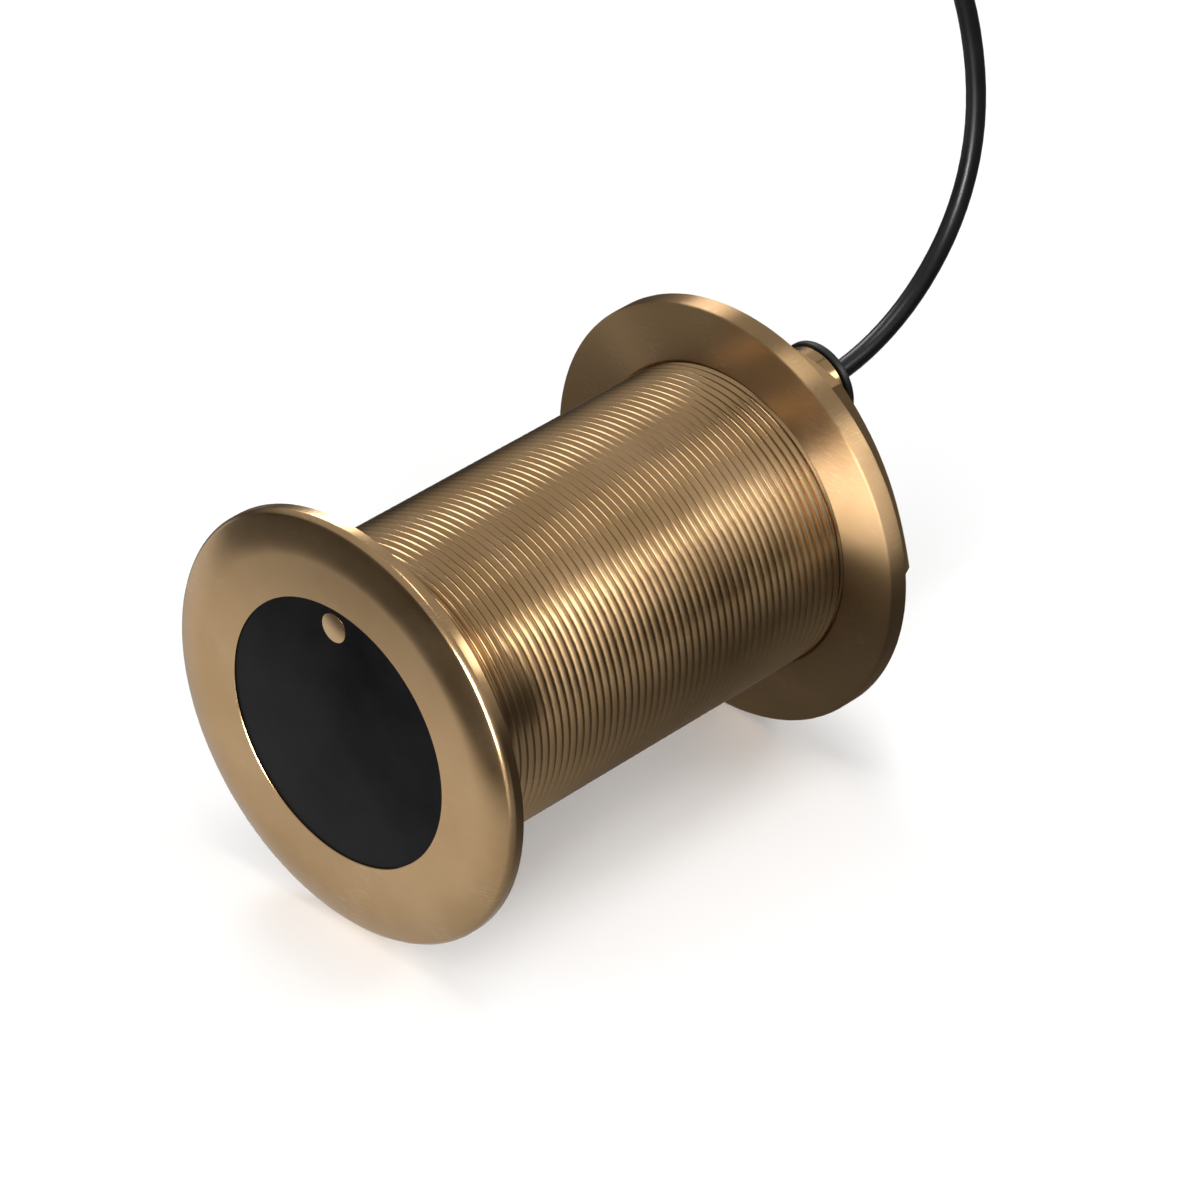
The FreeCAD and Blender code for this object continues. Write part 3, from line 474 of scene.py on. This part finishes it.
def add_thread(mesh):
    """The thread's skin. Past its ends the rows lie on each other, and make no faces."""
    helix = [add_row(mesh, row) for row in thread_rows(HOUSING_SIDES)]
    for low, high in zip(helix, helix[1:]):
        for i in range(HOUSING_SIDES):
            corners = (low[i], low[i + 1], high[i + 1], high[i])
            if len({tuple(round(c, 8) for c in v.co) for v in corners}) > 2:
                mesh.faces.new(corners)


def make_housing():
    mesh = bmesh.new()
    add_thread(mesh)
    outside = [(RELIEF_R, STEM_TOP), (WALL_MIDDLE_R, STEM_TOP)]
    inside = [(WALL_MIDDLE_R, CAVITY_TOP), (BORE_R, CAVITY_TOP), (BORE_R, BORE_START)]
    _, wall, cavity = [
        add_skin(mesh, round_rows(profile, HOUSING_SIDES), closed=False)
        for profile in (flange_profile(), outside, inside)
    ]
    mesh.faces.new(wall[-1])
    mesh.faces.new(cavity[0])
    boss = [
        (BOSS_BORE_R, STEM_TOP - BOSS_SUNK), (BOSS_R, STEM_TOP - BOSS_SUNK),
        (BOSS_R, STEM_TOP + BOSS_MARGIN), (BOSS_R, BOSS_TOP - BOSS_EDGE),
        (BOSS_R - BOSS_EDGE, BOSS_TOP), (BOSS_BORE_R, BOSS_TOP),
    ]
    add_skin(mesh, round_rows(boss, SMALL_ROUND_SIDES, BOSS_X))
    piece = finish_mesh("housing_body", mesh, BRONZE, HOUSING_SHARP)
    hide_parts("housing")
    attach(piece, "body")


# Hull nut: round disc and hexagonal body with chamfered corners

NUT_SIDES = 360
NUT_SHARP = 25.0
NUT_EDGE_STEPS = 4
NUT_MOUTH = 0.5
HEXAGON_FILLET = 0.4
# A ring this far inside the disc's edge keeps its face's shading flat.
NUT_FACE_MARGIN = 1.0
# How far inside the flats, and below the top there, the corners' chamfer starts.
CHAMFER_START = 0.05


def hexagon_radius(degrees):
    """How far the hexagon's side is from the axis at an angle."""
    from_flat = (degrees - NUT_CORNER_ANGLE) % 60.0 - 30.0
    return NUT_FLAT / math.cos(math.radians(from_flat))


def hexagon_foot(degrees):
    return hexagon_radius(degrees) + HEXAGON_FILLET


def chamfer_height(degrees):
    """Where the chamfer of the corners meets the hexagon's side at an angle."""
    drop = math.tan(math.radians(NUT_CORNER_CHAMFER))
    return NUT_TOP - (hexagon_radius(degrees) - NUT_FLAT) * drop - CHAMFER_START


def nut_row(radius, height):
    """A ring whose radius and height are numbers, or functions of the angle in degrees."""
    row = []
    for i in range(NUT_SIDES):
        degrees = NUT_CORNER_ANGLE + 360 * i / NUT_SIDES
        r = radius(degrees) if callable(radius) else radius
        z = height(degrees) if callable(height) else height
        angle = math.radians(degrees)
        row.append((r * math.cos(angle), r * math.sin(angle), z))
    return row


def make_nut():
    edge_r = NUT_R - NUT_EDGE
    outline = [
        (NUT_BORE_R, NUT_FRONT + NUT_MOUTH),
        (NUT_BORE_R + NUT_MOUTH, NUT_FRONT),
        (edge_r - NUT_FACE_MARGIN, NUT_FRONT),
        *arc((edge_r, NUT_FRONT + NUT_EDGE), NUT_EDGE, -90, 0, NUT_EDGE_STEPS),
        *arc((edge_r, NUT_DISC_BACK - NUT_EDGE), NUT_EDGE, 0, 90, NUT_EDGE_STEPS),
        (hexagon_foot, NUT_DISC_BACK),
        (hexagon_radius, NUT_DISC_BACK + HEXAGON_FILLET),
        (hexagon_radius, chamfer_height),
        (NUT_FLAT - CHAMFER_START, NUT_TOP),
        (NUT_BORE_R + NUT_MOUTH, NUT_TOP),
        (NUT_BORE_R, NUT_TOP - NUT_MOUTH),
    ]
    mesh = bmesh.new()
    add_skin(mesh, [nut_row(radius, height) for radius, height in outline])
    piece = finish_mesh("hull_nut_body", mesh, NUT_BRONZE, NUT_SHARP)
    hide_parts("hull_nut")
    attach(piece, "nut")


# Face: the window and the button in it

WINDOW_SIDES = 216
BUTTON_BACK = 7.4
# The points of their edges, as (how far inside the radius, how far behind the front).
WINDOW_EDGE = ((0.45, 0.0), (0.08, 0.12), (0.0, 0.5))
BUTTON_EDGE = ((0.22, 0.0), (0.06, 0.06), (0.0, 0.22))


def plug(name, material, radius, front, edge, back, count, centre=0.0):
    """A solid round plug with a flat front and back."""
    profile = [(AXIS_R, front)]
    profile += [(radius - inside, front + behind) for inside, behind in edge]
    profile += [(radius, back), (AXIS_R, back)]
    return lathe(name, profile, material, count, centre)


def make_face():
    window = plug("window_face", WINDOW_BLACK, BORE_R, WINDOW_FACE, WINDOW_EDGE, WINDOW_BACK,
                  WINDOW_SIDES)
    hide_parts("acoustic_window")
    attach(window, "body")
    button = plug("button_face", BUTTON_BRONZE, BUTTON_R, 0.0, BUTTON_EDGE, BUTTON_BACK,
                  SMALL_ROUND_SIDES, BUTTON_X)
    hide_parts("temperature_button")
    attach(button, "body")


# Grommet: a neck in the boss's bore and a round head on its end

GROMMET_START = 136.0
GROMMET_MOUTH = 0.5
GROMMET_STEPS = 8
NECK_GAP = 0.05
HEAD_GAP = 0.02
HEAD_EDGE = 0.25


def make_grommet():
    neck_r = BOSS_BORE_R - NECK_GAP
    head_low = BOSS_TOP + HEAD_GAP
    profile = [(CABLE_R + GROMMET_MOUTH, GROMMET_TOP), (CABLE_R, GROMMET_TOP - GROMMET_MOUTH),
               (CABLE_R, GROMMET_START), (neck_r, GROMMET_START), (neck_r, head_low),
               (GROMMET_R - HEAD_EDGE, head_low), (GROMMET_R, head_low + HEAD_EDGE)]
    centre = (GROMMET_R - GROMMET_ROUND, GROMMET_TOP - GROMMET_ROUND)
    profile += arc(centre, GROMMET_ROUND, 0, 90, GROMMET_STEPS)
    grommet = lathe("grommet_head", profile, RUBBER_BLACK, SMALL_ROUND_SIDES, BOSS_X)
    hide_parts("cable_grommet")
    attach(grommet, "body")


# Cable: the route down to the coil, the coil's turns and the lead to the plug

CABLE_EXIT = (BOSS_X, 0.0, GROMMET_TOP)
CABLE_ROUTE = [
    (BOSS_X, 0.0, 162.6),
    (28.8, 0.0, 182.9),
    (46.3, 0.3, 197.2),
    (69.5, -0.4, 203.2),
    (99.0, -3.0, 200.2),
    (128.0, -7.0, 188.4),
    (154.0, -12.0, 168.0),
    (175.0, -18.0, 141.0),
    (189.0, -24.0, 109.0),
    (199.0, -29.5, 77.0),
    (209.0, -33.2, 49.5),
    (224.0, -34.2, 31.0),
    (242.0, -33.2, 23.4),
]
PLUG_ROUTE = [
    (297.4, -22.2, 5.0),
    (306.0, -2.0, 9.2),
    (306.0, 20.0, 9.2),
]
COIL_CENTRE = (254.5, 0.0)
COIL_INNER_R = 26.6
COIL_STEP = 4.65
COIL_LOW = 3.3
COIL_ACROSS = 5
COIL_LAYERS = 5
# In degrees: the angle at which each turn starts, how far the last one goes, and the part of a
# turn in which it moves on to the next place.
COIL_START = -90.0
LAST_TURN = 36.0
SHIFT_ARC = 36.0
POINTS_PER_TURN = 24
CURVE_STEPS = 6
CURVE_SIDES = 6


def coil_slots():
    """The places of the turns in the bundle, (across, layer), from the top layer down."""
    slots = [(across, COIL_LAYERS - 1) for across in range(1, COIL_ACROSS)]
    for layer in range(COIL_LAYERS - 2, -1, -1):
        outward = (COIL_LAYERS - 1 - layer) % 2 == 0
        order = range(COIL_ACROSS) if outward else range(COIL_ACROSS - 1, -1, -1)
        slots += [(across, layer) for across in order]
    return slots


def shift_start(here, there):
    """Where in a turn it moves on to the next place: each layer, and each step down from it,
    earlier than the one above, so that no turn runs into its neighbour."""
    depth = COIL_LAYERS - 1 - here[1]
    zone = 2 * depth + (1 if there[1] != here[1] else 0)
    return 360.0 - (zone + 1) * SHIFT_ARC


def coil_points():
    """The coil's turns as points, each turn in its own place in the bundle. The spline runs
    inside its points, so they are that much further out."""
    step = 360.0 / POINTS_PER_TURN
    widen = 1 / (0.75 + 0.25 * math.cos(math.radians(step)))
    slots = coil_slots()
    points = []
    for index, here in enumerate(slots):
        last = index + 1 == len(slots)
        there = here if last else slots[index + 1]
        begins = shift_start(here, there)
        for k in range(POINTS_PER_TURN):
            turned = k * step
            if last and turned > LAST_TURN:
                break
            share = min(max((turned - begins) / SHIFT_ARC, 0.0), 1.0)
            across = here[0] + (there[0] - here[0]) * share
            layer = here[1] + (there[1] - here[1]) * share
            radius = (COIL_INNER_R + COIL_STEP * across) * widen
            angle = math.radians(COIL_START + turned)
            points.append((
                COIL_CENTRE[0] + radius * math.cos(angle),
                COIL_CENTRE[1] + radius * math.sin(angle),
                COIL_LOW + COIL_STEP * layer,
            ))
    return points


def nurbs(name, points, radius, material):
    curve = bpy.data.curves.new(name, "CURVE")
    curve.dimensions = "3D"
    spline = curve.splines.new("NURBS")
    spline.points.add(len(points) - 1)
    for target, point in zip(spline.points, points):
        target.co = (*[c * MM for c in point], 1.0)
    spline.order_u = 3
    spline.use_endpoint_u = True
    spline.resolution_u = CURVE_STEPS
    curve.bevel_depth = radius * MM
    curve.bevel_resolution = CURVE_SIDES
    curve.use_fill_caps = True
    curve.materials.append(material)
    piece = bpy.data.objects.new(name, curve)
    bpy.context.scene.collection.objects.link(piece)
    return piece


def make_cable():
    points = [CABLE_EXIT] + CABLE_ROUTE + coil_points() + PLUG_ROUTE
    cable = nurbs("cable", points, CABLE_R, CABLE_BLACK)
    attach(cable, "body")
    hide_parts("cable_run", "cable_coil", "plug_lead")


# Materials of the pieces whose solids stay as they are

NODES_OF_MATERIALS = (
    (RUBBER_BLACK, ("coil_ties", "plug_boot", "plug_seal")),
    (PLUG_BLACK, ("plug_body", "plug_ring", "plug_insert")),
    (CABLE_BLACK, ("cable_tail",)),
    (PIN_GOLD, ("plug_pins",)),
    (CERAMIC, ("piezo_disc",)),
    (CORK, ("isolation_ring", "backing_disc")),
    (CUP_GREY, ("element_cup",)),
    (POTTING, ("rear_potting",)),
    (FERRITE, ("transformer_core",)),
    (ENAMEL_WIRE, ("transformer_winding", "transformer_leads")),
    (BOARD_GREEN, ("circuit_board",)),
    (PART_BLACK, ("identity_chip", "board_capacitor", "board_resistors", "thermistor")),
    (WIRE_RED, ("element_lead_hot", "cable_cores")),
    (WIRE_WHITE, ("element_lead_ground", "thermistor_leads")),
    (CRIMP_METAL, ("cable_ferrule",)),
)


def dress_nodes():
    for material, nodes in NODES_OF_MATERIALS:
        for node in nodes:
            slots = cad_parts[node].data.materials
            slots.clear()
            slots.append(material)


# Floors: the object lies on one in the photograph, and stands on the other in views from above

FLOOR_WHITE = 0.82
PHOTO_FLOOR_GLOW = 0.1
STAND_FLOOR_GLOW = 0.5
# In metres: half the width of each floor, and the gap between it and what is on it.
PHOTO_FLOOR_REACH = 1.0
STAND_FLOOR_REACH = 0.45
PHOTO_FLOOR_GAP = 0.0002
STAND_FLOOR_GAP = 0.0003
# The painted pool of light and painted shade that metal shows on a floor, a glow and no lamp:
# its borders beside, behind and before it, in metres along the row's Y, Z and Z, as (from, to,
# strength there, strength there). It is darker beside and behind, where the object's shadow
# falls, and far before the face.
PAINTED_POOL_BESIDE = (0.0, 0.1, 1.0, 0.32)
PAINTED_POOL_BEHIND = (-0.04, 0.07, 1.0, 0.2)
PAINTED_POOL_BEFORE = (-0.12, -0.06, 0.12, 1.0)


def floor_material(name, glow):
    """White seen from its front, clear from behind. Seen straight, a part of its white glows,
    so that the lamps needn't be brighter than the object wants. Metal's reflections see it as a
    painted pool of light, white before the face, with painted shade beside and beyond it, where
    the object's shadow falls."""
    material = bpy.data.materials.new(name)
    tree = Tree(material)
    path = tree.add("ShaderNodeLightPath").outputs
    geometry = tree.add("ShaderNodeNewGeometry").outputs
    white = tree.add("ShaderNodeBsdfDiffuse")
    tree.fill(white, Color=(FLOOR_WHITE, FLOOR_WHITE, FLOOR_WHITE, 1))
    shine = tree.add("ShaderNodeEmission")
    tree.fill(shine, Strength=tree.math("MULTIPLY", path["Is Camera Ray"], glow))
    lit = tree.add("ShaderNodeAddShader")
    tree.feed(white.outputs[0], lit.inputs[0])
    tree.feed(shine.outputs[0], lit.inputs[1])
    _, y, z = tree.split(geometry["Position"])
    # Painted pool of light and painted shade: a glow whose strength is set by place on the floor,
    # dimmed beside and behind where the object's shadow falls, and far before the face.
    strength = tree.math("MULTIPLY", tree.remap(y, *PAINTED_POOL_BESIDE), tree.remap(z, *PAINTED_POOL_BEHIND))
    strength = tree.math("MULTIPLY", strength, tree.remap(z, *PAINTED_POOL_BEFORE))
    painted_pool = tree.add("ShaderNodeEmission")
    tree.fill(painted_pool, Strength=strength)
    # Glossy rays see the painted pool of light and shade in place of the lit white.
    front = tree.choose(path["Is Glossy Ray"], lit.outputs[0], painted_pool.outputs[0])
    clear = tree.add("ShaderNodeBsdfTransparent")
    surface = tree.choose(geometry["Backfacing"], front, clear.outputs[0])
    tree.feed(surface, tree.add("ShaderNodeOutputMaterial").inputs[0])
    return material


def stage_plane(name, centre, normal, reach, material):
    data = bpy.data.meshes.new(name)
    turn = normal.to_track_quat("Z", "Y").to_matrix()
    corners = [turn @ Vector((a * reach, b * reach, 0)) + centre
               for a, b in ((-1, -1), (1, -1), (1, 1), (-1, 1))]
    data.from_pydata(corners, [], [(0, 1, 2, 3)])
    data.materials.append(material)
    plane = bpy.data.objects.new(name, data)
    bpy.context.scene.collection.objects.link(plane)
    plane.visible_shadow = False
    return plane


def make_stage():
    # What the photographed object lies on: the plane that touches the rims of flange and nut.
    rim = -FLANGE_R * MM
    stage_plane("photo_floor", Vector((rim - PHOTO_FLOOR_GAP, 0, 0)), UP, PHOTO_FLOOR_REACH,
                floor_material("photo_floor_white", PHOTO_FLOOR_GLOW))
    # What the part stands on, for views from above, on the photo floor's lit side of it. It
    # takes no part in the main picture.
    floor = stage_plane("stand_floor", Vector((STAND_FLOOR_REACH + rim, 0, -STAND_FLOOR_GAP)),
                        Vector((0, 0, 1)), STAND_FLOOR_REACH,
                        floor_material("stand_floor_white", STAND_FLOOR_GLOW))
    floor.visible_diffuse = False
    floor.visible_glossy = False
    floor.visible_transmission = False


# Light: soft boxes, and walls that are dark at the photograph's horizon and lighter above it

LAMP_AIM = Vector((0, 0, 0.07))
# How far each lamp is to the photograph's right, up and near, its width and height, all in
# metres, and its power in watts.
LAMPS = (
    ("back_box", (-0.31, 0.78, -0.99), (0.4, 0.6), 6.0),
    ("top_box", (0.1, 1.25, 0.1), (0.4, 0.4), 4.0),
    ("front_strip", (-0.17, 0.05, 0.67), (0.5, 0.16), 9.0),
    ("right_box", (1.05, 0.75, 0.0), (0.3, 0.6), 3.0),
)
# The walls by how much a direction rises, as (from, to, strength there, strength there).
WALLS = (0.02, 0.5, 0.05, 0.6)


def lamp(name, place, size, power):
    """A soft box at a place in the photograph's world, turned to the object."""
    data = bpy.data.lights.new(name, "AREA")
    data.shape = "RECTANGLE"
    data.size, data.size_y = size
    data.energy = power
    thing = bpy.data.objects.new(name, data)
    right, up, near = place
    thing.location = LAMP_AIM + RIGHT * right + UP * up + NEAR * near
    thing.rotation_euler = (thing.location - LAMP_AIM).to_track_quat("Z", "Y").to_euler()
    bpy.context.scene.collection.objects.link(thing)


def make_light():
    """The world, which the camera itself sees as white, and the lamps."""
    world = bpy.data.worlds.new("studio")
    bpy.context.scene.world = world
    tree = Tree(world)
    rise = tree.split(tree.add("ShaderNodeTexCoord").outputs["Generated"])[0]
    walls = tree.add("ShaderNodeBackground")
    tree.fill(walls, Color=WHITE, Strength=tree.remap(rise, *WALLS))
    backdrop = tree.add("ShaderNodeBackground")
    tree.fill(backdrop, Color=WHITE)
    seen = tree.add("ShaderNodeLightPath").outputs["Is Camera Ray"]
    surface = tree.choose(seen, walls.outputs[0], backdrop.outputs[0])
    tree.feed(surface, tree.add("ShaderNodeOutputWorld").inputs[0])
    for name, place, size, power in LAMPS:
        lamp(name, place, size, power)


def make_camera():
    data = bpy.data.cameras.new("camera")
    data.sensor_width = VIEW_SENSOR
    data.lens = VIEW_LENS
    back = UP * math.sin(VIEW_ELEVATION) + NEAR * math.cos(VIEW_ELEVATION)
    above = UP * math.cos(VIEW_ELEVATION) - NEAR * math.sin(VIEW_ELEVATION)
    turn = Matrix((above.cross(back), above, back)).transposed()
    thing = bpy.data.objects.new("camera", data)
    thing.matrix_world = Matrix.Translation(VIEW_AIM + back * VIEW_DISTANCE) @ turn.to_4x4()
    bpy.context.scene.collection.objects.link(thing)
    bpy.context.scene.camera = thing


make_camera()
make_cable()
make_housing()
make_nut()
make_face()
make_grommet()
dress_nodes()
make_stage()
make_light()
bpy.context.scene.view_settings.view_transform = "Standard"
